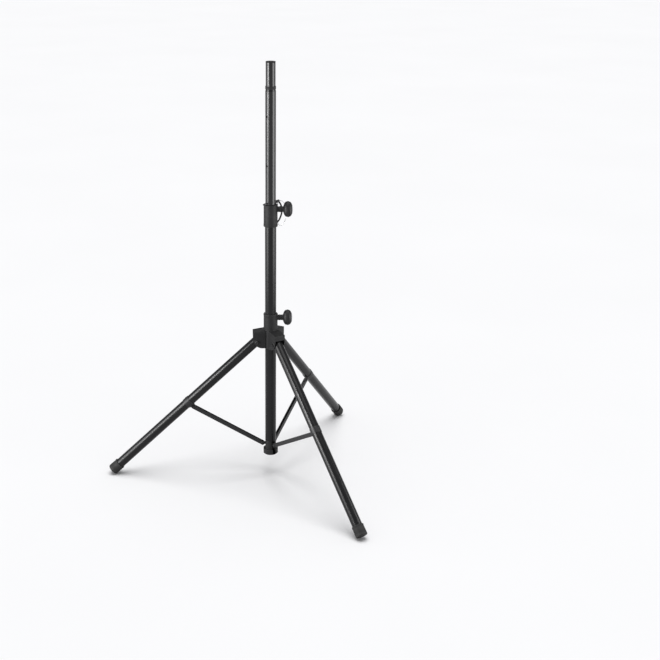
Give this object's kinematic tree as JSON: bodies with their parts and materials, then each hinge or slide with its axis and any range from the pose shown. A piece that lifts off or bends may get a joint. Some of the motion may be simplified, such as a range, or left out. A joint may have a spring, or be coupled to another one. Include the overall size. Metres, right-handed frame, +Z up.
{
  "type": "speaker tripod stand",
  "caption": "Telescopic speaker stand on folding tripod legs, with clamp knobs, a safety pin and a plain spigot on top.",
  "frame": {"origin": "on the floor, in the middle of the stand's bounding box", "axes": "+Z up along the column, -Y along the front leg, +X to the right"},
  "size_m": [1.0808, 0.9417, 1.5749],
  "materials": {
    "mast_paint": "satin black enamel",
    "tube_paint": "satin black powder coat",
    "black_plastic": "fine moulded grain",
    "black_rubber": "matt",
    "black_steel": "black coated steel",
    "bright_steel": "zinc plated",
    "nylon": "moulded nylon",
    "tether_rubber": "matt"
  },
  "bodies": {
    "column": {"main_tube": "tube_paint", "upper_collar": "black_plastic", "bottom_bracket": "black_plastic", "front_bracket_pin": "black_steel", "right_bracket_pin": "black_steel", "left_bracket_pin": "black_steel", "tether_rivet": "bright_steel", "tether": "tether_rubber"},
    "mast": {"mast_tube": "mast_paint", "spigot_ring": "black_plastic", "mast_top_cap": "black_plastic", "mast_guide_bush": "nylon"},
    "safety_pin": {"safety_pin": "black_steel", "pin_bail": "bright_steel"},
    "upper_knob": {"upper_knob": "black_plastic", "upper_knob_screw": "bright_steel", "upper_knob_pad": "nylon"},
    "hub": {"hub": "black_plastic", "hub_bush": "nylon", "front_pivot_bolt": "black_steel", "front_pivot_nut": "black_steel", "right_pivot_bolt": "black_steel", "right_pivot_nut": "black_steel", "left_pivot_bolt": "black_steel", "left_pivot_nut": "black_steel"},
    "lower_knob": {"lower_knob": "black_plastic", "lower_knob_screw": "bright_steel", "lower_knob_pad": "nylon"},
    "front_leg": {"front_leg_tube": "tube_paint", "front_leg_plug": "black_plastic", "front_foot_cap": "black_rubber", "front_leg_clamp": "black_steel", "front_brace_rivet": "black_steel"},
    "front_brace": {"front_brace": "black_steel"},
    "right_leg": {"right_leg_tube": "tube_paint", "right_leg_plug": "black_plastic", "right_foot_cap": "black_rubber", "right_leg_clamp": "black_steel", "right_brace_rivet": "black_steel"},
    "right_brace": {"right_brace": "black_steel"},
    "left_leg": {"left_leg_tube": "tube_paint", "left_leg_plug": "black_plastic", "left_foot_cap": "black_rubber", "left_leg_clamp": "black_steel", "left_brace_rivet": "black_steel"},
    "left_brace": {"left_brace": "black_steel"}
  },
  "joints": [
    {"name": "mast_slide", "type": "slide", "parent": "column", "child": "mast", "axis": [0, 0, 1], "range_m": [0, 0.36]},
    {"name": "safety_pin_pull", "type": "slide", "parent": "mast", "child": "safety_pin", "axis": [0.9659, 0.2588, 0], "range_m": [0, 0.062]},
    {"name": "upper_knob_turn", "type": "hinge", "parent": "column", "child": "upper_knob", "pos_m": [0, 0.1485, 1.044], "axis": [0.866, -0.5, 0], "range_deg": [0, 720]},
    {"name": "hub_slide", "type": "slide", "parent": "column", "child": "hub", "axis": [0, 0, 1], "range_m": [0, 0.24065]},
    {"name": "lower_knob_turn", "type": "hinge", "parent": "hub", "child": "lower_knob", "pos_m": [0, 0.1485, 0.63], "axis": [0.866, -0.5, 0], "range_deg": [0, 720]},
    {"name": "front_leg_fold", "type": "hinge", "parent": "hub", "child": "front_leg", "pos_m": [0, 0.0975, 0.53948], "axis": [1, 0, 0], "range_deg": [0, 43.61]},
    {"name": "front_brace_fold", "type": "hinge", "parent": "front_leg", "child": "front_brace", "pos_m": [0, -0.14196, 0.27312], "axis": [-1, 0, 0], "range_deg": [0, 101.53]},
    {"name": "right_leg_fold", "type": "hinge", "parent": "hub", "child": "right_leg", "pos_m": [0.04417, 0.174, 0.53948], "axis": [-0.5, 0.866, 0], "range_deg": [0, 43.61]},
    {"name": "right_brace_fold", "type": "hinge", "parent": "right_leg", "child": "right_brace", "pos_m": [0.25155, 0.29373, 0.27312], "axis": [0.5, -0.866, 0], "range_deg": [0, 101.53]},
    {"name": "left_leg_fold", "type": "hinge", "parent": "hub", "child": "left_leg", "pos_m": [-0.04417, 0.174, 0.53948], "axis": [-0.5, -0.866, 0], "range_deg": [0, 43.61]},
    {"name": "left_brace_fold", "type": "hinge", "parent": "left_leg", "child": "left_brace", "pos_m": [-0.25155, 0.29373, 0.27312], "axis": [0.5, 0.866, 0], "range_deg": [0, 101.53]}
  ],
  "couplings": [
    {"joint": "front_leg_fold", "follows": "hub_slide", "rad_per_m": 3.1621},
    {"joint": "front_brace_fold", "follows": "hub_slide", "rad_per_m": 7.3632},
    {"joint": "right_leg_fold", "follows": "hub_slide", "rad_per_m": 3.1621},
    {"joint": "right_brace_fold", "follows": "hub_slide", "rad_per_m": 7.3632},
    {"joint": "left_leg_fold", "follows": "hub_slide", "rad_per_m": 3.1621},
    {"joint": "left_brace_fold", "follows": "hub_slide", "rad_per_m": 7.3632}
  ]
}
